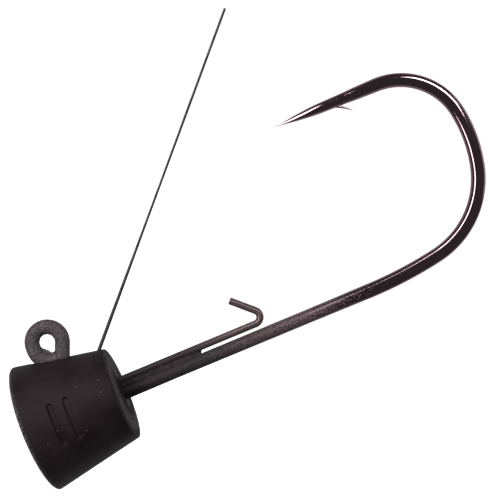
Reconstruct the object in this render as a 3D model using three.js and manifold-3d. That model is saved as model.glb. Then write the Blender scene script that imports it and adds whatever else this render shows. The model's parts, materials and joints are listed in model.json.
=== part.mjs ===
// A tungsten jig head with a baitholder wire and a single-strand weed guard.
//
// Millimetres. The origin is the centre of the flat nose face. +Z runs up the head's axis and along
// the hook's shank, the line-tie eye and the hook point lie on the -X side, and Y is square to the
// plane that the hook is bent in. Flat paths in that plane are written with two numbers: `up`, which
// is Z, and `out`, the distance from the head's axis towards the eye and the point, which is -X.
import * as THREE from 'three';
import * as BufferGeometryUtils from 'three/addons/utils/BufferGeometryUtils.js';
import Module from 'manifold-3d';

const wasm = await Module();
wasm.setup();

// ---- driving dimensions -------------------------------------------------------------------------

const head = {
  noseRadius: 5.02,
  rearRadius: 3.66,
  length: 7.06, // nose face to the rear rim
  crown: 0.25, // rise of the rear face over its rim
  rimRadius: 0.08,
};
const slot = {
  wall: 0.26, // resin on each side of the neck
  noseWall: 1.35, // solid metal left between the nose face and the slot
  floor: 1.2, // depth of the slot past the axis, on the side away from the eye
  fillRecess: 0.03, // the resin lies this far under the head's surface
};
const tally = {
  length: 3.2,
  width: 0.4,
  depth: 0.18,
  low: 2.43, // height of the first bar's centre line
  spacing: 1.2,
  count: 2,
};
const hook = {
  wire: 1.05,
  coat: 0.03, // the head's coat also covers the eye and the neck
  drop: 0.065, // the shank lies this far off the head's axis, away from the eye
  lean: 67.2, // degrees between the neck and the shank
  neckBend: 1.4, // centre-line radius
  shank: 20.55, // straight length behind the head's rear rim
  forgedWide: 1.12, // the bend is pressed flat: wider in its own plane
  forgedThick: 0.94,
  forgeLead: 5.0, // the pressing starts this far before the bend
  bendEnd: 1.06, // width where the bend runs out into the point
};
const eye = {
  up: 3.25,
  stand: 1.42, // the ring's centre stands this far off the head's side
  ringRadius: 1.2, // centre-line radius
  stretch: 0.3, // straight stretch that makes the ring slightly oval
  overlap: 112, // degrees from the ring's front side to where it closes on the neck
};
const bend = [
  { radius: 33.0, turn: 10.3 },
  { radius: 7.0, turn: 65.2 },
  { radius: 10.8, turn: 24.0 },
  { radius: 5.13, turn: 80.5 },
];
const pointLegs = [
  { run: 1.7, wide: 0.98 },
  { run: 0.9, wide: 0.89 },
  { run: 2.2, wide: 0.79 },
  { run: 0.7, wide: 0.7 },
  { run: 1.2, wide: 0.46 },
  { run: 1.6, wide: 0 },
];
const barb = {
  fromTip: 4.75, // distance from the hook's tip back to the barb's root
  base: 0.55,
  reach: 1.2, // how far the spike runs back along the wire
  stand: 0.7, // and how far it stands off it
  thick: 0.34,
  sunk: 0.15,
};
const keeper = {
  wire: 0.56,
  gap: 0.21, // free space between the shank and the keeper
  anchor: 2.3, // length held in the head
  straight: 11.55, // free straight length behind the head's rear rim
  bendRadius: 0.55,
  bendTurn: 136.8,
  barbLength: 2.12,
};
const solder = {
  length: 7.09, // it fills the gap this far behind the head's rear rim
  thick: 0.4,
};
const guard = {
  fromRim: 0.35, // the wire leaves the head's side this far in front of the rear rim
  lean: 47.2, // degrees from the head's axis
  free: 28.0,
  anchor: 2.6, // length held in the head
  wire: 0.17,
  rootWire: 0.3, // the coat is thicker at the root
  coatEnd: 11.0,
  flexAt: 2.5, // distance from the root to the two elastic centres of bending
  swayAt: 7.5,
  linkGap: 0.06,
};
const clearance = 0.05; // between pieces that are bonded or pressed together

const coatedWire = hook.wire + 2 * hook.coat;
const slotWidth = coatedWire + 2 * slot.wall;

// ---- roundness ----------------------------------------------------------------------------------

const headSides = 72;
const wireSides = 20;
const thinSides = 10;
const arcStep = 7; // degrees between two stations of a bent wire

const radians = THREE.MathUtils.degToRad;

// ---- paths and sweeps ---------------------------------------------------------------------------

// Radius of the head's cone at a height.
function coneRadius(up) {
  return head.noseRadius + ((head.rearRadius - head.noseRadius) * up) / head.length;
}

// Walks a chain of straight runs and tangent arcs. A leg is { run } or { radius, turn } with the turn
// in degrees, positive from `up` towards `out`, and may name the wire's width and thickness at its
// end. The result is a list of stations: place, heading, distance, width and thickness.
function walk({ up, out, heading, wide, thick = wide }, legs) {
  const stations = [{ up, out, heading: radians(heading), distance: 0, wide, thick }];
  for (const leg of legs) {
    const start = stations.at(-1);
    const turn = radians(leg.turn ?? 0);
    const length = leg.run ?? leg.radius * Math.abs(turn);
    const endWide = leg.wide ?? start.wide;
    const endThick = leg.thick ?? leg.wide ?? start.thick;
    const steps = Math.max(1, Math.ceil(Math.abs(leg.turn ?? 0) / arcStep));
    for (let step = 1; step <= steps; step++) {
      const share = step / steps;
      const turned = start.heading + turn * share;
      const half = (turn * share) / 2;
      const chord = length * share * (half === 0 ? 1 : Math.sin(half) / half);
      stations.push({
        up: start.up + chord * Math.cos(start.heading + half),
        out: start.out + chord * Math.sin(start.heading + half),
        heading: turned,
        distance: start.distance + length * share,
        wide: THREE.MathUtils.lerp(start.wide, endWide, share),
        thick: THREE.MathUtils.lerp(start.thick, endThick, share),
      });
    }
  }
  return stations;
}

// A station moved along its own heading.
function extend(station, distance) {
  return {
    ...station,
    up: station.up + distance * Math.cos(station.heading),
    out: station.out + distance * Math.sin(station.heading),
  };
}

// A solid wire along the stations, grown all round and past its ends by `grow`. A straight bar is
// turned on a lathe about its own Y axis, with one ring at each station, and each ring is then
// carried to its station and pressed to its section.
function wireGeometry(stations, sides, grow = 0) {
  const last = stations.length - 1;
  const start = extend(stations[0], -grow);
  const end = extend(stations[last], grow);
  const rings = stations.map((_, index) => new THREE.Vector2(1, index));
  const outline = [new THREE.Vector2(0, 0), ...rings, new THREE.Vector2(0, last)];
  const geometry = new THREE.LatheGeometry(outline, sides);
  const position = geometry.attributes.position;
  for (let vertex = 0; vertex < position.count; vertex++) {
    const index = Math.round(position.getY(vertex));
    const station = [start, end][[0, last].indexOf(index)] ?? stations[index];
    const across = position.getX(vertex) * (station.thick / 2 + grow);
    const inward = position.getZ(vertex) * (station.wide / 2 + grow);
    const x = -station.out + inward * Math.cos(station.heading);
    const z = station.up + inward * Math.sin(station.heading);
    position.setXYZ(vertex, x, across, z);
  }
  return geometry;
}

// ---- solids -------------------------------------------------------------------------------------

// A closed three.js geometry as a solid that can be cut and joined.
function solid(geometry) {
  const bare = geometry.clone();
  bare.deleteAttribute('normal');
  bare.deleteAttribute('uv');
  const merged = BufferGeometryUtils.mergeVertices(bare, 1e-5);
  const corners = merged.index.array;
  const triangles = [];
  for (let i = 0; i < corners.length; i += 3) {
    const [a, b, c] = corners.slice(i, i + 3);
    if (a !== b && b !== c && c !== a) triangles.push(a, b, c);
  }
  const vertProperties = new Float32Array(merged.attributes.position.array);
  const triVerts = new Uint32Array(triangles);
  return new wasm.Manifold(new wasm.Mesh({ numProp: 3, vertProperties, triVerts }));
}

function wireSolid(stations, sides, grow) {
  return solid(wireGeometry(stations, sides, grow));
}

function boxSolid(low, high) {
  const size = high.clone().sub(low);
  const centre = low.clone().add(high).multiplyScalar(0.5);
  return solid(new THREE.BoxGeometry(...size).translate(...centre));
}

// A solid as a named mesh with its own material.
function meshOf(name, body, colour, roughness, metalness) {
  const { vertProperties, triVerts } = body.getMesh();
  const geometry = new THREE.BufferGeometry();
  geometry.setAttribute('position', new THREE.BufferAttribute(vertProperties, 3));
  geometry.setIndex(new THREE.BufferAttribute(triVerts, 1));
  geometry.computeVertexNormals();
  const material = new THREE.MeshStandardMaterial({ color: colour, roughness, metalness });
  const mesh = new THREE.Mesh(geometry, material);
  mesh.name = name;
  return mesh;
}

// ---- the hook -----------------------------------------------------------------------------------

const eyeOut = coneRadius(eye.up) + eye.stand;

// The ring runs from where it closes on the neck, up its front side to the top.
const eyeCurl = walk(
  {
    up: eye.up + eye.ringRadius * Math.cos(radians(180 + eye.overlap)),
    out: eyeOut - eye.stretch + eye.ringRadius * Math.sin(radians(180 + eye.overlap)),
    heading: 90 + eye.overlap,
    wide: coatedWire,
  },
  [
    { radius: eye.ringRadius, turn: -eye.overlap },
    { run: eye.stretch },
    { radius: eye.ringRadius, turn: -90 },
  ],
);

// The rest of the wire: over the ring's top, down the neck into the head, along the shank, round the
// bend and out to the point.
function hookStations() {
  const neckTurn = 180 - hook.lean;
  const neckTop = eyeOut - eye.ringRadius * Math.cos(radians(hook.lean));
  const bendRise = hook.neckBend * (1 + Math.cos(radians(hook.lean)));
  const neckRun = (neckTop + hook.drop - bendRise) / Math.sin(radians(hook.lean));
  const neckUp = eye.up + eye.ringRadius * Math.sin(radians(hook.lean));
  const shankStart =
    neckUp - neckRun * Math.cos(radians(hook.lean)) + hook.neckBend * Math.sin(radians(hook.lean));
  const forged = { wide: hook.forgedWide, thick: hook.forgedThick };
  return walk({ up: eye.up, out: eyeOut + eye.ringRadius, heading: 0, wide: coatedWire }, [
    { radius: eye.ringRadius, turn: -neckTurn },
    { run: neckRun },
    { radius: hook.neckBend, turn: neckTurn },
    { run: head.length + head.crown - shankStart, wide: hook.wire },
    { run: hook.shank - head.crown - hook.forgeLead },
    { run: hook.forgeLead, ...forged },
    { ...bend[0], ...forged },
    { ...bend[1], ...forged },
    { ...bend[2], ...forged },
    { ...bend[3], wide: hook.bendEnd },
    ...pointLegs,
  ]);
}
const hookWire = hookStations();
const hookTip = hookWire.at(-1);

// A thin spike raised from the inner side of the wire, leaning away from the point.
function barbSolid() {
  const rootUp = hookTip.up + barb.fromTip;
  const tipDistance = hookTip.distance - barb.fromTip;
  const wireHere = hookWire.findLast((station) => station.distance <= tipDistance);
  const inner = hookTip.out - wireHere.wide / 2 + barb.sunk;
  const outline = new THREE.Shape();
  outline.moveTo(-inner, rootUp - barb.sunk);
  outline.lineTo(-inner, rootUp + barb.base);
  outline.lineTo(-inner + barb.stand + barb.sunk, rootUp + barb.reach);
  const geometry = new THREE.ExtrudeGeometry(outline, { depth: barb.thick, bevelEnabled: false });
  geometry.rotateX(Math.PI / 2).translate(0, barb.thick / 2, 0);
  return solid(geometry);
}

function hookSolid() {
  return wireSolid(eyeCurl, wireSides).add(wireSolid(hookWire, wireSides)).add(barbSolid());
}

// ---- the bait keeper ----------------------------------------------------------------------------

function keeperStations() {
  const out = -hook.drop + hook.wire / 2 + keeper.gap + keeper.wire / 2;
  const anchorEnd = head.length - keeper.anchor;
  return walk({ up: anchorEnd, out, heading: 0, wide: keeper.wire }, [
    { run: keeper.anchor + keeper.straight },
    { radius: keeper.bendRadius, turn: keeper.bendTurn },
    { run: keeper.barbLength },
  ]);
}
const keeperWire = keeperStations();

function solderSolid() {
  const start = head.length + head.crown + clearance;
  const low = new THREE.Vector3(-keeperWire[0].out, -solder.thick / 2, start);
  const high = new THREE.Vector3(hook.drop, solder.thick / 2, head.length + solder.length);
  return boxSolid(low, high)
    .subtract(wireSolid(hookWire, wireSides, clearance))
    .subtract(wireSolid(keeperWire, thinSides, clearance));
}

// ---- the weed guard -----------------------------------------------------------------------------

// A straight stretch of the guard wire between two distances from its root.
function guardStretch(from, to) {
  const lean = radians(guard.lean);
  const rootUp = head.length - guard.fromRim;
  return [from, guard.coatEnd, to]
    .filter((distance) => distance >= from && distance <= to)
    .map((distance) => {
      const coat = THREE.MathUtils.clamp(1 - distance / guard.coatEnd, 0, 1);
      const wide = guard.wire + (guard.rootWire - guard.wire) * coat;
      const up = rootUp + distance * Math.cos(lean);
      const out = coneRadius(rootUp) + distance * Math.sin(lean);
      return { up, out, heading: lean, distance, wide, thick: wide };
    });
}
const guardRoot = guardStretch(-guard.anchor, guard.flexAt - guard.linkGap / 2);
const guardLower = guardStretch(guard.flexAt + guard.linkGap / 2, guard.swayAt - guard.linkGap / 2);
const guardUpper = guardStretch(guard.swayAt + guard.linkGap / 2, guard.free);

// ---- the head -----------------------------------------------------------------------------------

// The turned outline of the head, shrunk all round by an inset.
function headOutline(inset = 0) {
  const slope = Math.atan2(head.noseRadius - head.rearRadius, head.length);
  const rim = head.rimRadius;
  const outline = new THREE.Path();
  const noseCentre = new THREE.Vector2(head.noseRadius - rim * Math.tan(Math.PI / 4 + slope / 2), rim);
  const rearInset = rim * Math.tan(Math.PI / 4 - slope / 2);
  const rearCentre = new THREE.Vector2(head.rearRadius - rearInset, head.length - rim);
  const reach = rim - inset;
  outline.moveTo(0, inset);
  outline.lineTo(noseCentre.x, inset);
  outline.absarc(noseCentre.x, noseCentre.y, reach, -Math.PI / 2, slope, false);
  outline.absarc(rearCentre.x, rearCentre.y, reach, slope, Math.PI / 2, false);
  const crownSteps = 5;
  for (let step = 1; step <= crownSteps; step++) {
    const share = 1 - step / crownSteps;
    outline.lineTo(rearCentre.x * share, head.length + head.crown * (1 - share ** 2) - inset);
  }
  return outline;
}

function headBlank(inset) {
  return solid(new THREE.LatheGeometry(headOutline(inset).getPoints(4), headSides).rotateX(Math.PI / 2));
}

// The slot that the hook's neck drops into, open towards the eye and at the rear.
function slotSolid(inset = 0) {
  const low = new THREE.Vector3(-2 * head.noseRadius, -slotWidth / 2 + inset, slot.noseWall + inset);
  const high = new THREE.Vector3(slot.floor - inset, slotWidth / 2 - inset, 2 * head.length);
  return boxSolid(low, high);
}

// One round-ended bar of the tally marks, running through the head's wall on the -Y side.
function tallyBar(up) {
  const bar = new THREE.Shape();
  const end = (tally.length - tally.width) / 2;
  bar.absarc(end, 0, tally.width / 2, -Math.PI / 2, Math.PI / 2, false);
  bar.absarc(-end, 0, tally.width / 2, Math.PI / 2, (3 * Math.PI) / 2, false);
  const options = { depth: 2 * head.noseRadius, bevelEnabled: false, curveSegments: 8 };
  const geometry = new THREE.ExtrudeGeometry(bar, options);
  return solid(geometry.rotateX(Math.PI / 2).translate(0, 0, up));
}

function headSolid() {
  let body = headBlank(0).subtract(slotSolid());
  const core = headBlank(tally.depth);
  for (let index = 0; index < tally.count; index++) {
    body = body.subtract(tallyBar(tally.low + index * tally.spacing).subtract(core));
  }
  return body;
}

// Resin that fills the slot round the neck, the keeper's end and the guard's root.
function resinSolid() {
  return headBlank(slot.fillRecess)
    .intersect(slotSolid(clearance))
    .subtract(wireSolid(eyeCurl, wireSides, clearance))
    .subtract(wireSolid(hookWire, wireSides, clearance))
    .subtract(wireSolid(keeperWire, thinSides, clearance))
    .subtract(wireSolid(guardRoot, thinSides, clearance));
}

// ---- the assembly -------------------------------------------------------------------------------

const jig = new THREE.Group();
jig.name = 'jig_head';
jig.add(
  meshOf('head', headSolid(), 0x2e2a2c, 0.55, 0.2),
  meshOf('slot_resin', resinSolid(), 0x231f21, 0.6, 0),
  meshOf('hook', hookSolid(), 0x2a2227, 0.18, 0.95),
  meshOf('bait_keeper', wireSolid(keeperWire, thinSides), 0x4a4044, 0.35, 0.7),
  meshOf('keeper_solder', solderSolid(), 0x3a3236, 0.5, 0.3),
  meshOf('guard_root', wireSolid(guardRoot, thinSides), 0x3a3538, 0.45, 0.6),
  meshOf('guard_lower', wireSolid(guardLower, thinSides), 0x55504f, 0.35, 0.8),
  meshOf('guard_upper', wireSolid(guardUpper, thinSides), 0x6b6664, 0.3, 0.9),
);

export default jig;
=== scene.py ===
"""The looks of a tungsten jig head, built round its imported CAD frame.

Everything is in metres, in the row's frame: the origin is the centre of the flat nose face, +Z runs
up the head's axis and along the hook's shank, the line-tie eye and the hook point lie on the -X
side, and Y is square to the plane that the hook is bent in. Flat paths in that plane are written
with two numbers: `up`, which is Z, and `out`, the distance from the head's axis, which is -X.
"""

import json
import math

import bpy
import numpy as np
from mathutils import Matrix, Vector

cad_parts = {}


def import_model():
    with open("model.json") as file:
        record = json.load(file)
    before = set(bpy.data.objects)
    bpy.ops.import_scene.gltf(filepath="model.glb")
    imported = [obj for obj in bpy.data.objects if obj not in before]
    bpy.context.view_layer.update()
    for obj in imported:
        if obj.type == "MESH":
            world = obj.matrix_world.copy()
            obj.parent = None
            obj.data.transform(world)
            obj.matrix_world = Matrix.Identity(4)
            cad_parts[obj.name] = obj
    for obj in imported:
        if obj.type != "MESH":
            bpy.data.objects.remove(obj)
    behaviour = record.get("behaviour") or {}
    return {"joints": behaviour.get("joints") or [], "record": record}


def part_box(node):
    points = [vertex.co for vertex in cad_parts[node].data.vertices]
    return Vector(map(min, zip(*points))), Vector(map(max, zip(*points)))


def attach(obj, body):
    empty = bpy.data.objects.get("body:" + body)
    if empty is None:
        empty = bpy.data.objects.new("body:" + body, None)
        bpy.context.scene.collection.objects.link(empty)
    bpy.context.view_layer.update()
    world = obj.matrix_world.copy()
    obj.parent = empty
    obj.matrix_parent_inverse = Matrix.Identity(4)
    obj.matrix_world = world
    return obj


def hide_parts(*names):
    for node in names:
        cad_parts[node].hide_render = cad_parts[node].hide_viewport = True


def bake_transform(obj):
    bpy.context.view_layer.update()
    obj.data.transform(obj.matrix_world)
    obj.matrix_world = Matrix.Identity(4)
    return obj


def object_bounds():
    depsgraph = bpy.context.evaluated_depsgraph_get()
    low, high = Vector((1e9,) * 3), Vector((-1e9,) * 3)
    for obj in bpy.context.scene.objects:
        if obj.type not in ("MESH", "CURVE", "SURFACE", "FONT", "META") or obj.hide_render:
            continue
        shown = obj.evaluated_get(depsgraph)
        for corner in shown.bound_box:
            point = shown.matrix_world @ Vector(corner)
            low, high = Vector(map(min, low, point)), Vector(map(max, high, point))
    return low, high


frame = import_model()
cad_low, cad_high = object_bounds()

MM = 0.001

# ---- sizes ----------------------------------------------------------------------------------------

mounts = {mount["name"]: mount for mount in frame["record"]["mounts"]}
joints = {joint["name"]: joint for joint in frame["joints"]}
head_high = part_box("head")[1]
keeper_low, keeper_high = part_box("bait_keeper")
solder_low, solder_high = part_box("keeper_solder")

HEAD_NOSE_RADIUS = 5.02 * MM
HEAD_REAR_RADIUS = 3.66 * MM
HEAD_CROWN = 0.25 * MM
HEAD_LENGTH = head_high.z - HEAD_CROWN
HEAD_RIM = 0.08 * MM

SLOT_WIDTH = 1.63 * MM
SLOT_NOSE_WALL = 1.35 * MM
SLOT_FLOOR = 1.2 * MM
FILL_RECESS = 0.02 * MM

BAR_LENGTH = 3.2 * MM
BAR_WIDTH = 0.4 * MM
BAR_DEPTH = 0.18 * MM
BAR_HEIGHTS = (2.43 * MM, 3.63 * MM)

WIRE = 1.05 * MM
SHANK_OUT = -0.065 * MM
NECK_LEAN = 67.2
NECK_BEND = 1.4 * MM
SHANK_TOP = HEAD_LENGTH + 20.55 * MM
FORGED_WIDE = 1.12 * MM
FORGED_THICK = 0.94 * MM
FORGE_LEAD = 5.0 * MM
BEND_LEGS = (
    {"radius": 33.0 * MM, "turn": 10.3},
    {"radius": 7.0 * MM, "turn": 65.2},
    {"radius": 10.8 * MM, "turn": 24.0},
)
# From the end of the bend to the tip, with the wire's width at the end of each leg.
POINT_LEGS = (
    {"radius": 5.13 * MM, "turn": 80.5, "wide": 1.06 * MM},
    {"run": 1.7 * MM, "wide": 0.98 * MM},
    {"run": 0.9 * MM, "wide": 0.89 * MM},
    {"run": 2.2 * MM, "wide": 0.79 * MM},
    {"run": 0.7 * MM, "wide": 0.7 * MM},
    {"run": 1.2 * MM, "wide": 0.46 * MM},
    {"run": 1.6 * MM, "wide": 0.012 * MM},
)
COAT_DIP = 4.0 * MM  # how far behind the head the coated wire has run down to WIRE

EYE_UP = mounts["line_tie_eye"]["pos_m"][2]
EYE_OUT = -mounts["line_tie_eye"]["pos_m"][0]
EYE_WIRE = 1.16 * MM  # the coat has run together round the eye
EYE_RADIUS = 1.17 * MM
EYE_STRETCH = 0.3 * MM
EYE_OVERLAP = 112

KEEPER_WIRE = 0.56 * MM
KEEPER_OUT = KEEPER_WIRE / 2 - keeper_high.x
KEEPER_BEND_UP = HEAD_LENGTH + 11.55 * MM
KEEPER_BEND_RADIUS = 0.55 * MM
KEEPER_BEND_TURN = 136.8
KEEPER_BARB = 2.12 * MM
KEEPER_COAT_FADE = (12.0 * MM, 19.0 * MM)

BARB_FROM_TIP = 4.75 * MM
BARB_REACH = 1.2 * MM
BARB_STAND = 0.7 * MM
BARB_THICK = 0.34 * MM

GUARD_WIRE = 0.19 * MM  # a little thicker than the CAD wire, matched to the photo
GUARD_ROOT_WIRE = 0.30 * MM
GUARD_COAT_END = 11.0 * MM
GUARD_FREE = 27.96 * MM
GUARD_ANCHOR = 2.6 * MM
GUARD_FLEX_AT = 2.5 * MM
GUARD_SWAY_AT = 7.5 * MM
GUARD_SPLIT = 5.0 * MM

# ---- mesh helpers ---------------------------------------------------------------------------------


class Shape:
    """Points and faces in the making, with numbers kept at each point for the materials."""

    def __init__(self):
        self.points = np.zeros((0, 3))
        self.faces = []
        self.values = {}

    def add(self, points, faces, **values):
        first = len(self.points)
        self.points = np.vstack([self.points, points])
        self.faces += [[first + corner for corner in face] for face in faces]
        for name, value in values.items():
            value = np.asarray(value, float)
            kept = self.values.get(name, np.zeros((0,) + value.shape[1:]))
            self.values[name] = np.concatenate([kept, value])

    def piece(self, name):
        """The finished shape as a smooth-shaded object."""
        mesh = bpy.data.meshes.new(name)
        mesh.from_pydata(self.points.tolist(), [], self.faces)
        for value_name, value in self.values.items():
            vector = value.ndim == 2
            layer = mesh.attributes.new(value_name, "FLOAT_VECTOR" if vector else "FLOAT", "POINT")
            layer.data.foreach_set("vector" if vector else "value", value.astype(np.float32).ravel())
        mesh.update()
        mesh.shade_smooth()
        return linked(bpy.data.objects.new(name, mesh))


def linked(obj):
    bpy.context.scene.collection.objects.link(obj)
    return obj


def smooth_step(value, start, end):
    share = np.clip((np.asarray(value, float) - start) / (end - start), 0, 1)
    return share * share * (3 - 2 * share)


# ---- paths and swept wires ------------------------------------------------------------------------

ARC_STEP = 2.5
RUN_STEP = 0.25 * MM


class Station:
    """One place on a wire's centre line, with its heading from `up` towards `out` in radians."""

    def __init__(self, up, out, heading, distance, wide, thick):
        self.up, self.out, self.heading = up, out, heading
        self.distance, self.wide, self.thick = distance, wide, thick


def walk(up, out, heading, wide, legs):
    """Stations along straight runs and tangent arcs. A leg is {run} or {radius, turn} and may name
    the wire's width and thickness at its end."""
    stations = [Station(up, out, math.radians(heading), 0.0, wide, wide)]
    for leg in legs:
        start = stations[-1]
        turn = math.radians(leg.get("turn", 0))
        length = leg.get("run", leg.get("radius", 0) * abs(turn))
        end_wide = leg.get("wide", start.wide)
        end_thick = leg.get("thick", leg.get("wide", start.thick))
        steps = max(2, math.ceil(abs(leg.get("turn", 0)) / ARC_STEP), math.ceil(length / RUN_STEP))
        for step in range(1, steps + 1):
            share = step / steps
            half = turn * share / 2
            chord = length * share * (math.sin(half) / half if half else 1)
            stations.append(Station(
                start.up + chord * math.cos(start.heading + half),
                start.out + chord * math.sin(start.heading + half),
                start.heading + turn * share,
                start.distance + length * share,
                start.wide + (end_wide - start.wide) * share,
                start.thick + (end_thick - start.thick) * share,
            ))
    return stations


def sweep(shape, stations, sides, section=None, **values):
    """Adds a round wire along the stations. section(angles, station) may reshape a ring. Each point
    keeps wire_space, its place on the wire as if it were straight: inward, across and along."""
    angles = np.arange(sides) * 2 * math.pi / sides
    rings, straight = [], []
    for station in stations:
        radius = section(angles, station) if section else np.ones(sides)
        inward = np.cos(angles) * radius * station.wide / 2
        across = np.sin(angles) * radius * station.thick / 2
        x = -station.out + inward * math.cos(station.heading)
        z = station.up + inward * math.sin(station.heading)
        rings.append(np.column_stack([x, across, z]))
        straight.append(np.column_stack([inward, across, np.full(sides, station.distance)]))
    count = len(stations)
    faces = [list(range(sides))]
    for ring in range(count - 1):
        for side in range(sides):
            after = (side + 1) % sides
            low, high = ring * sides, (ring + 1) * sides
            faces.append([low + side, high + side, high + after, low + after])
    faces.append([(count - 1) * sides + side for side in reversed(range(sides))])
    each = {name: np.repeat(np.asarray(value, float), sides) for name, value in values.items()}
    shape.add(np.vstack(rings), faces, wire_space=np.vstack(straight), **each)


def rounded_ends(stations, start=True, end=True, reach=0.3, steps=4):
    """The stations with their chosen ends drawn in to a soft chamfer, as on a cut and coated wire."""
    made = list(stations)
    for wanted, index, sign in ((start, 0, -1), (end, -1, 1)):
        if not wanted:
            continue
        last = made[index]
        added = []
        for step in range(1, steps + 1):
            angle = step / steps * math.pi / 2 * 0.97
            ahead = sign * math.sin(angle) * reach * last.wide / 2
            narrow = 1 - reach * (1 - math.cos(angle))
            added.append(Station(
                last.up + ahead * math.cos(last.heading), last.out + ahead * math.sin(last.heading),
                last.heading, last.distance + ahead, last.wide * narrow, last.thick * narrow,
            ))
        made = added[::-1] + made if sign < 0 else made + added
    return made


# ---- the hook's own shapes ------------------------------------------------------------------------

HOOK_SIDES = 48


def hook_stations():
    lean = math.radians(NECK_LEAN)
    neck_turn = 180 - NECK_LEAN
    neck_top = EYE_OUT - EYE_RADIUS * math.cos(lean)
    bend_rise = NECK_BEND * (1 + math.cos(lean))
    neck_run = (neck_top - SHANK_OUT - bend_rise) / math.sin(lean)
    neck_up = EYE_UP + EYE_RADIUS * math.sin(lean)
    shank_start = neck_up - neck_run * math.cos(lean) + NECK_BEND * math.sin(lean)
    forged = {"wide": FORGED_WIDE, "thick": FORGED_THICK}
    return walk(EYE_UP, EYE_OUT + EYE_RADIUS, 0, EYE_WIRE, [
        {"radius": EYE_RADIUS, "turn": -neck_turn},
        {"run": neck_run},
        {"radius": NECK_BEND, "turn": neck_turn},
        {"run": HEAD_LENGTH + COAT_DIP - shank_start, "wide": WIRE},
        {"run": SHANK_TOP - HEAD_LENGTH - COAT_DIP - FORGE_LEAD},
        {"run": FORGE_LEAD, **forged},
        *({**leg, **forged} for leg in BEND_LEGS),
        *POINT_LEGS,
    ])


def eye_curl_stations():
    """The ring from where it closes on the neck, round its front side to the top."""
    closed = math.radians(180 + EYE_OVERLAP)
    return walk(
        EYE_UP + EYE_RADIUS * math.cos(closed),
        EYE_OUT - EYE_STRETCH + EYE_RADIUS * math.sin(closed),
        90 + EYE_OVERLAP,
        EYE_WIRE,
        [
            {"radius": EYE_RADIUS, "turn": -EYE_OVERLAP},
            {"run": EYE_STRETCH},
            {"radius": EYE_RADIUS, "turn": -90},
        ],
    )


FORGED_POWER = 2.3
GROUND_LENGTH = 3.7 * MM
# The ground faces of the point: the direction each one looks, in degrees from the wire's outer side,
# and its distance from the centre line at the tip, as a share of the wire's radius.
GROUND_FACES = ((68, 0.643), (41, 0.66), (148, 0.853))
FACE_SHARPNESS = 30


def hook_section(tip_distance, forged_from, forged_to):
    """The section of the hook's wire: pressed flat round the bend and ground to faces at the point."""

    def section(angles, station):
        forged = smooth_step(station.distance, forged_from - 2 * MM, forged_from + 3 * MM)
        forged *= 1 - smooth_step(station.distance, forged_to - 2 * MM, forged_to)
        power = 2 + (FORGED_POWER - 2) * forged
        cos, sin = np.abs(np.cos(angles)), np.abs(np.sin(angles))
        radius = (cos**power + sin**power) ** (-1 / power)
        ahead = (tip_distance - station.distance) / GROUND_LENGTH
        if ahead < 1:
            limits = [radius]
            for side in (1, -1):
                for looks, share in GROUND_FACES:
                    facing = np.cos(angles - side * math.radians(looks))
                    stands = share + (1.02 - share) * ahead
                    limits.append(np.where(facing > 0.05, stands / np.maximum(facing, 0.05), 20))
            radius = sum(limit**-FACE_SHARPNESS for limit in limits) ** (-1 / FACE_SHARPNESS)
        return radius

    return section


def barb_stations(tip, wire_wide):
    """A thin spike raised from the inner side of the wire, leaning away from the point."""
    inner = tip.out - wire_wide / 2
    root_up = tip.up + BARB_FROM_TIP
    start = Vector((root_up - 0.1 * MM, inner + 0.2 * MM))
    knee = Vector((root_up + 0.5 * MM, inner - 0.05 * MM))
    end = Vector((root_up + BARB_REACH, inner - BARB_STAND))
    made = []
    steps = 14
    for step in range(steps + 1):
        share = step / steps
        place = start * (1 - share) ** 2 + knee * 2 * share * (1 - share) + end * share**2
        slope = (knee - start) * (1 - share) + (end - knee) * share
        wide = 0.28 * MM * (1 - share) ** 0.8 + 0.02 * MM
        thick = BARB_THICK * (1 - share**2) + 0.03 * MM
        heading = math.atan2(slope.y, slope.x)
        made.append(Station(place.x, place.y, heading, share * BARB_REACH, wide, thick))
    return made


COAT_FADE = (10.5 * MM, 23.0 * MM)
GLOSS_FADE = (18.0 * MM, 33.0 * MM)
# Painted shadow of the head on the shank: how far the coat's colour goes over to COAT_DARKEST_AND_SHADE,
# by height above the nose face.
SHANK_PAINTED_SHADE = ((8.0 * MM, 0.97), (9.2 * MM, 0.76), (13.0 * MM, 0.68), (20.0 * MM, 0.45))


def hook_piece():
    stations = hook_stations()
    tip = stations[-1]
    shank_at = next(s.distance for s in stations if s.up >= HEAD_LENGTH and abs(s.heading) < 0.01)
    bend_at = shank_at + SHANK_TOP - HEAD_LENGTH
    needle_at = tip.distance - 8.3 * MM
    from_rim = np.array([s.distance - shank_at + HEAD_LENGTH for s in stations])
    shape = Shape()
    section = hook_section(tip.distance, bend_at, needle_at)
    sweep(
        shape, stations, HOOK_SIDES, section,
        coat=1 - smooth_step(from_rim, *COAT_FADE), gloss=smooth_step(from_rim, *GLOSS_FADE),
        # painted shadow of the head on the shank's root, kept at each point
        pooled=np.where(from_rim > 0, np.interp(from_rim, *zip(*SHANK_PAINTED_SHADE)), 0),
    )
    curl = eye_curl_stations()
    none = np.zeros(len(curl))
    sweep(shape, curl, HOOK_SIDES, coat=none + 1, gloss=none, pooled=none)
    root_at = tip.distance - BARB_FROM_TIP
    wire_here = min(stations, key=lambda s: abs(s.distance - root_at)).wide
    spike = barb_stations(tip, wire_here)
    none = np.zeros(len(spike))
    sweep(shape, spike, 16, coat=none, gloss=none + 1, pooled=none)
    return shape.piece("hook_wire")


# ---- the eye's paint web --------------------------------------------------------------------------

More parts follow.
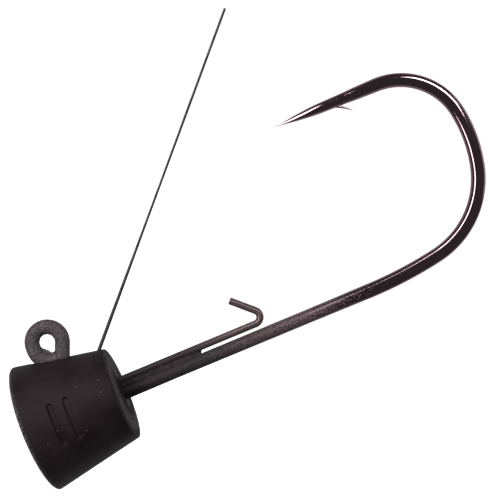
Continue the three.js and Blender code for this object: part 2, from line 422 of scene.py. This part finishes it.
# The web's ragged edge: direction from the hole's centre, in degrees from `up` towards `out`, and
# how far from the centre the edge lies.
WEB_EDGE = (
    (176, 0.60 * MM), (190, 0.55 * MM), (205, 0.50 * MM), (217, 0.38 * MM), (224, 0.43 * MM),
    (232, 0.49 * MM), (241, 0.44 * MM), (249, 0.45 * MM), (257, 0.55 * MM), (266, 0.62 * MM),
    (274, 0.74 * MM),
)
WEB_BURIED = 0.86 * MM
WEB_THICK = 0.30 * MM


def eye_web_piece():
    """The ragged web of coat left in the bottom of the eye's hole."""
    directions, edges = zip(*WEB_EDGE)
    centre_out = EYE_OUT - EYE_STRETCH / 2
    steps = 72
    stations = []
    for step in range(steps + 1):
        direction = directions[0] + (directions[-1] - directions[0]) * step / steps
        edge = float(np.interp(direction, directions, edges))
        angle = math.radians(direction)
        radius = (edge + WEB_BURIED) / 2
        stations.append(Station(
            EYE_UP + radius * math.cos(angle), centre_out + radius * math.sin(angle),
            angle + math.pi / 2, radius * (angle - math.pi), WEB_BURIED - edge, WEB_THICK,
        ))
    shape = Shape()
    none = np.zeros(len(stations))
    sweep(shape, stations, 16, coat=none + 1, gloss=none, pooled=none)
    return shape.piece("eye_paint_web")


# ---- the bait keeper and its solder ---------------------------------------------------------------


def keeper_piece():
    stations = walk(keeper_low.z, KEEPER_OUT, 0, KEEPER_WIRE, [
        {"run": KEEPER_BEND_UP - keeper_low.z},
        {"radius": KEEPER_BEND_RADIUS, "turn": KEEPER_BEND_TURN},
        {"run": KEEPER_BARB - 0.05 * MM},
    ])
    stations = rounded_ends(stations, reach=0.25)
    coat = 1 - smooth_step([s.up for s in stations], *KEEPER_COAT_FADE)
    barb_at = KEEPER_BEND_UP - keeper_low.z + KEEPER_BEND_RADIUS
    coat = np.where([s.distance > barb_at for s in stations], 0.25, coat)
    shape = Shape()
    sweep(shape, stations, 36, coat=coat)
    return shape.piece("bait_keeper_wire")


def solder_piece():
    """The web between the keeper and the shank, hollowed on both sides where it wets the wires."""
    across_steps, along_steps = 16, 150
    low_x, high_x = -KEEPER_OUT, -SHANK_OUT
    low_z, high_z = HEAD_LENGTH - 0.1 * MM, solder_high.z
    wave = np.random.default_rng(5).uniform(0, 2 * math.pi, 8)
    points = []
    for step in range(along_steps + 1):
        share = step / along_steps
        lumps = sum(math.sin(share * (9 + 7 * i) + wave[i]) / (2 + i) for i in range(8)) / 3
        closing = math.sqrt(max(0.0, 1 - max(0.0, (share - 0.96) / 0.04) ** 2))
        for side in range(2 * across_steps):
            angle = math.pi * side / across_steps
            place = -math.cos(angle)
            edge = 0.225 * MM
            middle = (0.15 + 0.035 * lumps) * MM
            half = (middle + (edge - middle) * place * place) * (0.3 + 0.7 * closing)
            x = (low_x + high_x) / 2 + place * (high_x - low_x) / 2
            y = half * max(-1.0, min(1.0, 1.6 * math.sin(angle)))
            z = low_z + (high_z - low_z) * share
            z -= 0.35 * MM * (1 - place * place) * smooth_step(share, 0.9, 1.0)
            points.append((x, y, z))
    ring = 2 * across_steps
    faces = [list(range(ring)), [along_steps * ring + side for side in reversed(range(ring))]]
    for step in range(along_steps):
        for side in range(ring):
            after = (side + 1) % ring
            low, high = step * ring, (step + 1) * ring
            faces.append([low + side, low + after, high + after, high + side])
    shape = Shape()
    shape.add(np.array(points), faces)
    return shape.piece("keeper_solder_web")


# ---- the weed guard -------------------------------------------------------------------------------

GUARD_SIDES = 24


def guard_place(distance):
    """The point on the guard's straight line at a distance from its root."""
    flex = Vector(joints["weed_guard_flex"]["pos_m"])
    sway = Vector(joints["weed_guard_sway"]["pos_m"])
    heading = (sway - flex) / (GUARD_SWAY_AT - GUARD_FLEX_AT)
    return flex + heading * (distance - GUARD_FLEX_AT)


def guard_stations(start, end):
    first, last = guard_place(start), guard_place(end)
    heading = math.atan2(first.x - last.x, last.z - first.z)
    count = math.ceil((end - start) / (0.2 * MM))
    made = []
    for step in range(count + 1):
        distance = start + (end - start) * step / count
        place = guard_place(distance)
        coat = max(0.0, min(1.0, 1 - distance / GUARD_COAT_END))
        wide = GUARD_WIRE + (GUARD_ROOT_WIRE - GUARD_WIRE) * coat
        made.append(Station(place.z, -place.x, heading, distance, wide, wide))
    return made


def guard_piece(name, start, end, round_end):
    stations = guard_stations(start, end)
    if round_end:
        stations = rounded_ends(stations, start=False, reach=0.6)
    shape = Shape()
    coat = 1 - smooth_step([s.distance for s in stations], 1 * MM, GUARD_COAT_END)
    sweep(shape, stations, GUARD_SIDES, coat=coat)
    return shape.piece(name)


# ---- the head -------------------------------------------------------------------------------------

MARK_FINE = 0.035 * MM  # spacing of the head's points round its engraved marks
BODY_COARSE = 0.16 * MM  # and everywhere else
MARK_SOFT = 0.05 * MM  # the coat rounds the engraving's edges this much
SCALE_UP = 1000.0  # cutting works in millimetres, because its tolerances are too coarse in metres


def head_slope():
    return math.atan2(HEAD_NOSE_RADIUS - HEAD_REAR_RADIUS, HEAD_LENGTH)


def cone_radius(up):
    return HEAD_NOSE_RADIUS + (HEAD_REAR_RADIUS - HEAD_NOSE_RADIUS) * up / HEAD_LENGTH


def graded(start, end, fine_from, fine_to):
    """Places from start to end, close together between fine_from and fine_to."""
    made = [start]
    while made[-1] < end:
        here = made[-1]
        away = max(0.0, fine_from - here, here - fine_to)
        made.append(here + min(BODY_COARSE, MARK_FINE + 0.25 * away))
    return [start + (place - start) * (end - start) / (made[-1] - start) for place in made]


def head_outline(inset=0.0):
    """The turned outline of the head, nose centre to rear centre, as (radius, up) pairs."""
    slope = head_slope()
    nose = (HEAD_NOSE_RADIUS - HEAD_RIM * math.tan(math.pi / 4 + slope / 2), HEAD_RIM)
    rear = (HEAD_REAR_RADIUS - HEAD_RIM * math.tan(math.pi / 4 - slope / 2), HEAD_LENGTH - HEAD_RIM)
    reach = HEAD_RIM - inset
    flat_steps, rim_steps, crown_steps = 12, 8, 24
    outline = [(nose[0] * step / flat_steps, inset) for step in range(flat_steps)]
    for centre, start, end in ((nose, -math.pi / 2, slope), (rear, slope, math.pi / 2)):
        if centre is rear:
            low = outline[-1]
            high = (rear[0] + reach * math.cos(slope), rear[1] + reach * math.sin(slope))
            marks = BAR_HEIGHTS[0] - BAR_WIDTH, BAR_HEIGHTS[-1] + BAR_WIDTH
            for up in graded(low[1], high[1], *marks)[1:-1]:
                outline.append((low[0] + (high[0] - low[0]) * (up - low[1]) / (high[1] - low[1]), up))
        for step in range(rim_steps + 1):
            angle = start + (end - start) * step / rim_steps
            outline.append((centre[0] + reach * math.cos(angle), centre[1] + reach * math.sin(angle)))
    for step in range(1, crown_steps + 1):
        share = 1 - step / crown_steps
        outline.append((rear[0] * share, HEAD_LENGTH + HEAD_CROWN * (1 - share**2) - inset))
    return outline


def head_angles():
    """Directions round the head, close together on the -Y side where the marks are."""
    middle = cone_radius(BAR_HEIGHTS[0])
    half_turn = math.pi * middle
    reach = BAR_LENGTH / 2 + BAR_WIDTH
    places = graded(-half_turn, half_turn, -reach, reach)[:-1]
    return [place / middle - math.pi / 2 for place in places]


def bar_depth(x, up):
    """How deep the engraving is at a place on the -Y side."""
    depth = np.zeros(len(x))
    for height in BAR_HEIGHTS:
        beyond = np.maximum(np.abs(x) - (BAR_LENGTH - BAR_WIDTH) / 2, 0)
        edge = np.hypot(beyond, up - height) - BAR_WIDTH / 2
        depth = np.maximum(depth, BAR_DEPTH * (1 - smooth_step(edge, -MARK_SOFT, MARK_SOFT)))
    return depth


def turned(name, outline, marked=False):
    """A closed solid turned about Z from an outline that starts and ends on the axis, in
    millimetres for cutting."""
    angles = head_angles()
    sides = len(angles)
    cos, sin = np.cos(angles), np.sin(angles)
    points = [np.array([[0, 0, outline[0][1]]])]
    for radius, up in outline[1:-1]:
        reach = np.full(sides, radius)
        if marked and HEAD_RIM < up < HEAD_LENGTH - HEAD_RIM:
            reach = radius - bar_depth(radius * cos, up) * (sin < 0)
        points.append(np.column_stack([reach * cos, reach * sin, np.full(sides, up)]))
    points.append(np.array([[0, 0, outline[-1][1]]]))
    rings = len(outline) - 2
    last = 1 + rings * sides
    faces = []
    for side in range(sides):
        after = (side + 1) % sides
        faces.append([0, 1 + after, 1 + side])
        for ring in range(rings - 1):
            low, high = 1 + ring * sides, 1 + (ring + 1) * sides
            faces.append([low + side, low + after, high + after, high + side])
        faces.append([last - sides + side, last - sides + after, last])
    shape = Shape()
    shape.add(np.vstack(points) * SCALE_UP, faces)
    return shape.piece(name)


def slot_block(grow=0.0):
    """The box of the slot that the hook's neck drops into, in millimetres, used only to cut."""
    low = (-2 * HEAD_NOSE_RADIUS, -SLOT_WIDTH / 2 - grow, SLOT_NOSE_WALL - grow)
    high = (SLOT_FLOOR + grow, SLOT_WIDTH / 2 + grow, 2 * HEAD_LENGTH)
    x, y, z = zip(low, high)
    points = [(x[i], y[j], z[k]) for i in (0, 1) for j in (0, 1) for k in (0, 1)]
    faces = [[0, 1, 3, 2], [4, 6, 7, 5], [0, 4, 5, 1], [2, 3, 7, 6], [0, 2, 6, 4], [1, 5, 7, 3]]
    shape = Shape()
    shape.add(np.array(points) * SCALE_UP, faces)
    return shape.piece("slot_block")


def cut(obj, operation, other):
    """Cuts obj by other or keeps what they share, removes other, and takes obj back to metres."""
    modifier = obj.modifiers.new("cut", "BOOLEAN")
    modifier.operation, modifier.object, modifier.solver = operation, other, "EXACT"
    depsgraph = bpy.context.evaluated_depsgraph_get()
    obj.data = bpy.data.meshes.new_from_object(obj.evaluated_get(depsgraph))
    obj.modifiers.clear()
    bpy.data.objects.remove(other)
    obj.data.transform(Matrix.Scale(1 / SCALE_UP, 4))
    obj.data.shade_smooth()
    obj.data.set_sharp_from_angle(angle=math.radians(40))
    return obj


def places_of(obj):
    co = np.zeros(len(obj.data.vertices) * 3)
    obj.data.vertices.foreach_get("co", co)
    return co.reshape(-1, 3)


def head_piece():
    body = cut(turned("head_body", head_outline(), marked=True), "DIFFERENCE", slot_block())
    co = places_of(body)
    radius = np.hypot(co[:, 0], co[:, 1])
    nose = np.hypot(radius - HEAD_NOSE_RADIUS, co[:, 2])
    rear = np.hypot(radius - HEAD_REAR_RADIUS, co[:, 2] - HEAD_LENGTH)
    # closeness to each rim: the nose rim's carries painted highlight specks, the rear rim's painted
    # shade
    for name, distance, reach in (("nose_rim_highlight", nose, 0.16 * MM), ("rear_rim_shade", rear, 0.75 * MM)):
        layer = body.data.attributes.new(name, "FLOAT", "POINT")
        layer.data.foreach_set("value", np.exp(-((distance / reach) ** 2)).astype(np.float32))
    return body


def resin_piece():
    """The resin that fills the slot nearly flush round the neck, the keeper and the guard."""
    fill = turned("slot_resin_fill", head_outline(FILL_RECESS))
    return cut(fill, "INTERSECT", slot_block(0.02 * MM))


# ---- material helpers -----------------------------------------------------------------------------


class Finish:
    """A material with short calls for its nodes."""

    def __init__(self, name):
        self.material = bpy.data.materials.new(name)
        self.material.use_nodes = True
        self.tree = self.material.node_tree
        self.shader = self.tree.nodes["Principled BSDF"]

    def node(self, kind, inputs=None, **settings):
        made = self.tree.nodes.new(kind)
        for name, value in settings.items():
            setattr(made, name, value)
        for name, value in (inputs or {}).items():
            self.feed(made.inputs[name], value)
        return made

    def feed(self, socket, value):
        if isinstance(value, bpy.types.NodeSocket):
            self.tree.links.new(value, socket)
        else:
            socket.default_value = value

    def place(self):
        return self.node("ShaderNodeTexCoord").outputs["Object"]

    def height(self, vector):
        """The Z of a vector."""
        return self.node("ShaderNodeSeparateXYZ", {"Vector": vector}).outputs["Z"]

    def from_axis(self, vector):
        """A vector's distance from the Z axis."""
        flat = self.node("ShaderNodeVectorMath", {0: vector, 1: (1.0, 1.0, 0.0)}, operation="MULTIPLY")
        length = self.node("ShaderNodeVectorMath", {0: flat.outputs[0]}, operation="LENGTH")
        return length.outputs["Value"]

    def kept(self, name):
        """A number kept at each point of the mesh."""
        return self.node("ShaderNodeAttribute", attribute_name=name).outputs["Fac"]

    def wire_space(self, stretch=1.0):
        """The place on the wire as if it were straight, drawn out along the wire by `stretch`."""
        vector = self.node("ShaderNodeAttribute", attribute_name="wire_space").outputs["Vector"]
        scale = (1.0, 1.0, 1.0 / stretch)
        return self.node("ShaderNodeVectorMath", {0: vector, 1: scale}, operation="MULTIPLY").outputs[0]

    def noise(self, vector, size, detail=3.0, roughness=0.5):
        """Soft noise from 0 to 1 with features of about this size in metres."""
        inputs = {"Vector": vector, "Scale": 1 / size, "Detail": detail, "Roughness": roughness}
        return self.node("ShaderNodeTexNoise", inputs).outputs[0]

    def cells(self, vector, size):
        """Distance to scattered points about this far apart, from 0 at a point."""
        inputs = {"Vector": vector, "Scale": 1 / size}
        return self.node("ShaderNodeTexVoronoi", inputs).outputs["Distance"]

    def stretch(self, value, low, high, to_low=0.0, to_high=1.0):
        """value from low..high taken to to_low..to_high, and held inside it."""
        inputs = {
            "Value": value, "From Min": low, "From Max": high, "To Min": to_low, "To Max": to_high,
        }
        return self.node("ShaderNodeMapRange", inputs).outputs["Result"]

    def maths(self, operation, a, b=0.0):
        return self.node("ShaderNodeMath", {0: a, 1: b}, operation=operation).outputs[0]

    def blend(self, share, a, b):
        """Numbers or colours mixed by share."""
        colour = any(
            isinstance(v, tuple) or getattr(v, "type", "") == "RGBA" for v in (a, b)
        )
        kind = "RGBA" if colour else "FLOAT"
        made = self.node("ShaderNodeMix", data_type=kind)
        first = {"RGBA": 6, "FLOAT": 2}[kind]
        self.feed(made.inputs[0], share)
        self.feed(made.inputs[first], a)
        self.feed(made.inputs[first + 1], b)
        return made.outputs[{"RGBA": 2, "FLOAT": 0}[kind]]

    def dusted(self, colour, vector, apart):
        """colour with tiny bright dust specks about this far apart."""
        speck = self.stretch(self.cells(vector, apart), 0.055, 0.03)
        size = self.stretch(self.noise(vector, 3 * apart, 0), 0.4, 0.6)
        return self.blend(self.maths("MULTIPLY", speck, size), colour, COAT_DUST)

    def bump(self, height, depth, normal=None):
        """A bump whose height 0 to 1 stands for this many metres."""
        inputs = {"Height": height, "Distance": depth, "Strength": 1.0}
        if normal:
            inputs["Normal"] = normal
        return self.node("ShaderNodeBump", inputs).outputs["Normal"]

    def set(self, **sockets):
        """Feeds the shader's sockets: base_color goes to Base Color."""
        for name, value in sockets.items():
            self.feed(self.shader.inputs[name.replace("_", " ").title().replace("Ior", "IOR")], value)
        return self.material


def linear(red, green, blue):
    """An sRGB colour of 0 to 255 as a linear one."""
    def one(v):
        v /= 255
        return v / 12.92 if v <= 0.04045 else ((v + 0.055) / 1.055) ** 2.4
    return (one(red), one(green), one(blue), 1.0)


# ---- materials ------------------------------------------------------------------------------------

COAT_DARK = linear(18, 13, 15)
COAT_LIGHT = linear(35, 28, 31)
# the coat's darkest tone, also used as the colour of painted shade
COAT_DARKEST_AND_SHADE = linear(14, 11, 12)
COAT_DUST = linear(165, 158, 158)
WARM_SHINE = (1.0, 0.80, 0.88, 1.0)


def head_coat_material():
    """Matt black powder coat with fine grain, slight orange peel and dust specks. The nose rim has
    lighter specks of painted highlight. The rear face has a sandy speckle lightened as a painted
    reflection, between a rim of painted shade and a dark ring at the shank."""
    finish = Finish("head_coat")
    place = finish.place()
    grain = finish.noise(place, 0.11 * MM, 4, 0.6)
    cloud = finish.noise(place, 2.2 * MM, 3)
    peel = finish.noise(place, 0.35 * MM, 2)
    tone = finish.stretch(finish.maths("ADD", grain, cloud), 0.75, 1.3)
    colour = finish.blend(tone, COAT_DARK, COAT_LIGHT)
    # painted highlight: lighter specks along the nose rim
    rim_highlight = finish.maths("MULTIPLY", finish.kept("nose_rim_highlight"), finish.stretch(grain, 0.45, 0.6))
    colour = finish.blend(rim_highlight, colour, linear(120, 112, 113))
    # painted shade: the coat is darkened along the rounded rear rim
    pooled = finish.maths("MULTIPLY", finish.kept("rear_rim_shade"), 0.85)
    colour = finish.blend(pooled, colour, COAT_DARKEST_AND_SHADE)
    on_rear = finish.stretch(finish.height(place), HEAD_LENGTH - 0.03 * MM, HEAD_LENGTH + 0.05 * MM)
    sandy = finish.noise(place, 0.11 * MM, 3, 0.7)
    # sandy speckle with a painted reflection: the rear face is lightened, but kept dark round the shank
    # and along the rear rim
    sand_and_reflection = finish.blend(finish.stretch(sandy, 0.4, 0.64), COAT_DARK, linear(128, 116, 120))
    off_shank = finish.stretch(finish.from_axis(place), 1.7 * MM, 2.9 * MM)
    off_rim = finish.maths("SUBTRACT", 1.0, finish.kept("rear_rim_shade"))
    sand_and_reflection_mask = finish.maths("MULTIPLY", on_rear, finish.maths("MULTIPLY", off_shank, off_rim))
    colour = finish.blend(sand_and_reflection_mask, colour, sand_and_reflection)
    colour = finish.dusted(colour, place, 0.55 * MM)
    roughness = finish.blend(on_rear, finish.stretch(cloud, 0.3, 0.7, 0.52, 0.60), 0.9)
    normal = finish.bump(finish.maths("MULTIPLY", sandy, on_rear), 0.03 * MM)
    normal = finish.bump(grain, 0.010 * MM, normal)
    normal = finish.bump(peel, 0.008 * MM, normal)
    finish.set(specular_tint=WARM_SHINE, specular_ior_level=0.2)
    return finish.set(base_color=colour, roughness=roughness, normal=normal)


def resin_material():
    """Filled resin under the black coat, with pinholes and shallow ripples."""
    finish = Finish("slot_resin")
    place = finish.place()
    ripple = finish.noise(place, 0.5 * MM, 2)
    grain = finish.noise(place, 0.08 * MM, 4)
    hole = finish.stretch(finish.cells(place, 0.6 * MM), 0.05, 0.14)
    tone = finish.stretch(grain, 0.4, 0.65)
    colour = finish.blend(tone, COAT_DARKEST_AND_SHADE, COAT_LIGHT)
    height = finish.maths("ADD", finish.maths("MULTIPLY", hole, 0.5), ripple)
    normal = finish.bump(height, 0.02 * MM)
    roughness = finish.stretch(grain, 0.3, 0.7, 0.5, 0.62)
    finish.set(specular_tint=WARM_SHINE, specular_ior_level=0.2)
    return finish.set(base_color=colour, roughness=roughness, normal=normal)


def hook_material():
    """Coat at the eye and neck, darkened by a painted shadow of the head at the shank's root, a thin
    speckled film along the shank, then glossy black nickel.
    """
    finish = Finish("hook_plating")
    place = finish.place()
    coat, gloss = finish.kept("coat"), finish.kept("gloss")
    grain = finish.noise(place, 0.10 * MM, 4, 0.65)
    patch = finish.noise(place, 0.45 * MM, 3)
    drawn = finish.noise(finish.wire_space(30), 0.05 * MM, 3)
    uneven = finish.maths("MULTIPLY", finish.maths("SUBTRACT", patch, 0.5), 0.7)
    coated = finish.stretch(finish.maths("ADD", coat, uneven), 0.2, 0.8)
    speckle = finish.stretch(grain, 0.38, 0.66)
    coat_colour = finish.blend(speckle, linear(34, 29, 32), linear(104, 96, 99))
    # painted shade: the coat is darkened where the head shades the shank's root
    coat_colour = finish.blend(finish.kept("pooled"), coat_colour, COAT_DARKEST_AND_SHADE)
    film_colour = finish.blend(speckle, linear(46, 37, 41), linear(112, 97, 100))
    nickel = finish.blend(finish.stretch(drawn, 0.35, 0.7), linear(134, 112, 120), linear(156, 131, 139))
    colour = finish.blend(coated, finish.blend(gloss, film_colour, nickel), coat_colour)
    colour = finish.dusted(colour, place, 0.55 * MM)
    thinned = finish.maths("SUBTRACT", grain, finish.maths("MULTIPLY", gloss, 0.4))
    filmed = finish.stretch(thinned, 0.30, 0.46)
    smooth = finish.stretch(drawn, 0.3, 0.7, 0.06, 0.11)
    roughness = finish.blend(coated, finish.blend(filmed, smooth, 0.58), 0.62)
    metallic = finish.blend(coated, finish.blend(filmed, 1.0, 0.3), 0.0)
    matt = finish.maths("SUBTRACT", 1.0, gloss)
    normal = finish.bump(finish.maths("MULTIPLY", grain, matt), 0.012 * MM)
    normal = finish.bump(drawn, 0.0002 * MM, normal)
    finish.set(specular_tint=WARM_SHINE, specular_ior_level=0.25)
    return finish.set(base_color=colour, roughness=roughness, metallic=metallic, normal=normal)


def keeper_material():
    """Dark coat that thins to a brownish satin film over spring wire towards the free end."""
    finish = Finish("keeper_coat")
    space = finish.wire_space()
    coat = finish.kept("coat")
    grain = finish.noise(space, 0.09 * MM, 4, 0.65)
    drawn = finish.noise(finish.wire_space(25), 0.05 * MM, 2)
    uneven = finish.maths("MULTIPLY", finish.maths("SUBTRACT", grain, 0.5), 0.8)
    coated = finish.stretch(finish.maths("ADD", coat, uneven), 0.0, 1.0)
    tone = finish.stretch(finish.maths("ADD", grain, finish.maths("MULTIPLY", drawn, 0.5)), 0.55, 0.95)
    film = finish.blend(tone, linear(66, 54, 56), linear(128, 110, 111))
    cover = finish.blend(tone, linear(18, 15, 17), linear(60, 53, 56))
    colour = finish.dusted(finish.blend(coated, film, cover), space, 0.6 * MM)
    roughness = finish.blend(coated, finish.stretch(grain, 0.3, 0.7, 0.28, 0.42), 0.52)
    metallic = finish.blend(coated, 0.6, 0.0)
    normal = finish.bump(grain, 0.008 * MM)
    normal = finish.bump(drawn, 0.001 * MM, normal)
    finish.set(specular_tint=WARM_SHINE, specular_ior_level=0.25)
    return finish.set(base_color=colour, roughness=roughness, metallic=metallic, normal=normal)


def solder_material():
    """Satin coat over solder, lumpy, with painted shade darkening its hollows."""
    finish = Finish("solder_coat")
    place = finish.place()
    lumps = finish.noise(place, 0.35 * MM, 2)
    grain = finish.noise(place, 0.06 * MM, 4, 0.6)
    # painted shade: the colour darkens where the lumps sink
    colour = finish.blend(finish.stretch(lumps, 0.35, 0.7), linear(34, 29, 31), linear(62, 54, 57))
    roughness = finish.stretch(grain, 0.3, 0.7, 0.35, 0.55)
    normal = finish.bump(lumps, 0.05 * MM)
    normal = finish.bump(grain, 0.01 * MM, normal)
    return finish.set(base_color=colour, roughness=roughness, metallic=0.2, normal=normal)


def guard_material():
    """Dull spring steel with drawing lines, under a dark coat that thins out from the root."""
    finish = Finish("guard_wire")
    space = finish.wire_space()
    grain = finish.noise(space, 0.05 * MM, 4, 0.6)
    drawn = finish.noise(finish.wire_space(40), 0.03 * MM, 2)
    uneven = finish.maths("MULTIPLY", finish.maths("SUBTRACT", grain, 0.5), 0.6)
    coated = finish.stretch(finish.maths("ADD", finish.kept("coat"), uneven), 0.3, 0.75)
    steel = finish.blend(finish.stretch(drawn, 0.35, 0.7), linear(52, 47, 48), linear(96, 91, 92))
    coat = finish.blend(finish.stretch(grain, 0.4, 0.65), linear(26, 23, 25), linear(56, 51, 53))
    colour = finish.blend(coated, steel, coat)
    roughness = finish.blend(coated, 0.34, 0.5)
    metallic = finish.blend(coated, 1.0, 0.1)
    normal = finish.bump(drawn, 0.0015 * MM)
    normal = finish.bump(finish.maths("MULTIPLY", grain, finish.kept("coat")), 0.008 * MM, normal)
    return finish.set(base_color=colour, roughness=roughness, metallic=metallic, normal=normal)


# ---- putting the pieces in place ------------------------------------------------------------------


def fit(obj, material, slot, *nodes):
    obj.data.materials.clear()
    obj.data.materials.append(material)
    if nodes:
        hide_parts(*nodes)
    return obj


head_coat = head_coat_material()
guard_finish = guard_material()
hook_finish = hook_material()

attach(fit(head_piece(), head_coat, "head_coat", "head"), "jig")
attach(fit(resin_piece(), resin_material(), "resin", "slot_resin"), "jig")
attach(fit(hook_piece(), hook_finish, "black_nickel", "hook"), "jig")
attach(fit(eye_web_piece(), hook_finish, "head_coat"), "jig")
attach(fit(keeper_piece(), keeper_material(), "keeper_coat", "bait_keeper"), "jig")
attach(fit(solder_piece(), solder_material(), "solder_coat", "keeper_solder"), "jig")

lower_guard = guard_piece("guard_wire_root", -GUARD_ANCHOR, GUARD_SPLIT, False)
fit(lower_guard, guard_finish, "guard_wire", "guard_root", "guard_lower")
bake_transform(lower_guard)
upper_guard = guard_piece("guard_wire_tip", GUARD_SPLIT, GUARD_FREE, True)
fit(upper_guard, guard_finish, "guard_wire", "guard_upper")
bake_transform(upper_guard)

# ---- floor, light and camera ----------------------------------------------------------------------

FLOOR_HALF = 1.5
FLOOR_DROP = 0.05 * MM
STRIP_SIDEWAYS = 0.215
STRIP_FORWARD = 0.26
CAMERA_PLACE = Vector((-6.36, -85.2, 20.38)) * MM
SHANK_TILT = math.radians(22.57)  # the shank rises this much across the picture
LENS = 79.7


def floor():
    """A plain pale floor just under the nose face."""
    shape = Shape()
    turns = ((-1, -1), (1, -1), (1, 1), (-1, 1))
    corners = [(x * FLOOR_HALF, y * FLOOR_HALF, -FLOOR_DROP) for x, y in turns]
    shape.add(np.array(corners), [[0, 1, 2, 3]])
    plane = shape.piece("floor")
    finish = Finish("floor_white")
    place = finish.place()
    tone = finish.noise(place, 0.2, 2)
    colour = finish.blend(tone, (0.86, 0.86, 0.86, 1), (0.9, 0.9, 0.9, 1))
    finish.set(base_color=colour, roughness=0.9, emission_color=(1, 1, 1, 1), emission_strength=0.95)
    plane.data.materials.append(finish.material)
    plane.visible_glossy = False
    plane.visible_diffuse = False
    plane.visible_shadow = False


def strip_light(name, middle, bearing, width, length, radiance):
    """A long softbox in front of the object, seen from it at `bearing` degrees from -X towards -Z,
    with its long side square to that bearing."""
    angle = math.radians(bearing)
    sideways = Vector((-math.cos(angle), 0, -math.sin(angle)))
    along = Vector((math.sin(angle), 0, -math.cos(angle)))
    place = middle + sideways * STRIP_SIDEWAYS + Vector((0, -STRIP_FORWARD, 0))
    area_light(name, place, middle, width, length, radiance, along)


def area_light(name, place, aim, size_x, size_y, radiance, along=Vector((0, 1, 0))):
    """A rectangular lamp that looks at a point, with its long side nearly along a direction."""
    data = bpy.data.lights.new(name, "AREA")
    data.shape = "RECTANGLE"
    data.size, data.size_y = size_x, size_y
    data.energy = radiance * math.pi * size_x * size_y
    lamp = linked(bpy.data.objects.new(name, data))
    back = (Vector(place) - Vector(aim)).normalized()
    right = along.cross(back).normalized()
    turned_up = back.cross(right)
    lamp.matrix_world = Matrix((
        (right.x, turned_up.x, back.x, place[0]),
        (right.y, turned_up.y, back.y, place[1]),
        (right.z, turned_up.z, back.z, place[2]),
        (0, 0, 0, 1),
    ))
    lamp.visible_camera = False


def studio():
    middle = (cad_low + cad_high) / 2
    strip_light("left_softbox", middle, 46, 0.09, 0.48, 9.0)
    strip_light("right_softbox", middle, -62, 0.09, 0.14, 15.0)
    area_light("top_soft", (0.02, 0.1, 0.45), middle, 0.4, 0.4, 0.6)


def world():
    """White behind the object for the camera, and a dim even studio for everything else."""
    made = bpy.data.worlds.new("studio")
    made.use_nodes = True
    tree = made.node_tree
    background = tree.nodes["Background"]
    rays = tree.nodes.new("ShaderNodeLightPath")
    direction = tree.nodes.new("ShaderNodeTexCoord")
    split = tree.nodes.new("ShaderNodeSeparateXYZ")
    tree.links.new(direction.outputs["Generated"], split.inputs[0])
    behind = tree.nodes.new("ShaderNodeMapRange")
    behind.interpolation_type = "SMOOTHSTEP"
    behind.inputs["From Min"].default_value = -0.1
    behind.inputs["From Max"].default_value = 0.4
    behind.inputs["To Min"].default_value = 0.08
    behind.inputs["To Max"].default_value = 0.45
    tree.links.new(split.outputs["Y"], behind.inputs["Value"])
    strength = tree.nodes.new("ShaderNodeMix")
    strength.inputs[3].default_value = 1.05
    tree.links.new(behind.outputs["Result"], strength.inputs[2])
    tree.links.new(rays.outputs["Is Camera Ray"], strength.inputs[0])
    tree.links.new(strength.outputs[0], background.inputs["Strength"])
    background.inputs["Color"].default_value = (1.0, 1.0, 1.0, 1.0)
    bpy.context.scene.world = made


def camera():
    data = bpy.data.cameras.new("camera")
    data.sensor_width = 36
    data.lens = LENS
    data.clip_start = 0.005
    data.clip_end = 20
    obj = linked(bpy.data.objects.new("camera", data))
    right = Vector((math.sin(SHANK_TILT), 0, math.cos(SHANK_TILT)))
    back = Vector((0, -1, 0))
    upward = back.cross(right)
    obj.matrix_world = Matrix((
        (right.x, upward.x, back.x, CAMERA_PLACE.x),
        (right.y, upward.y, back.y, CAMERA_PLACE.y),
        (right.z, upward.z, back.z, CAMERA_PLACE.z),
        (0, 0, 0, 1),
    ))
    bpy.context.scene.camera = obj


floor()
studio()
world()
camera()
bpy.context.scene.view_settings.view_transform = "Standard"
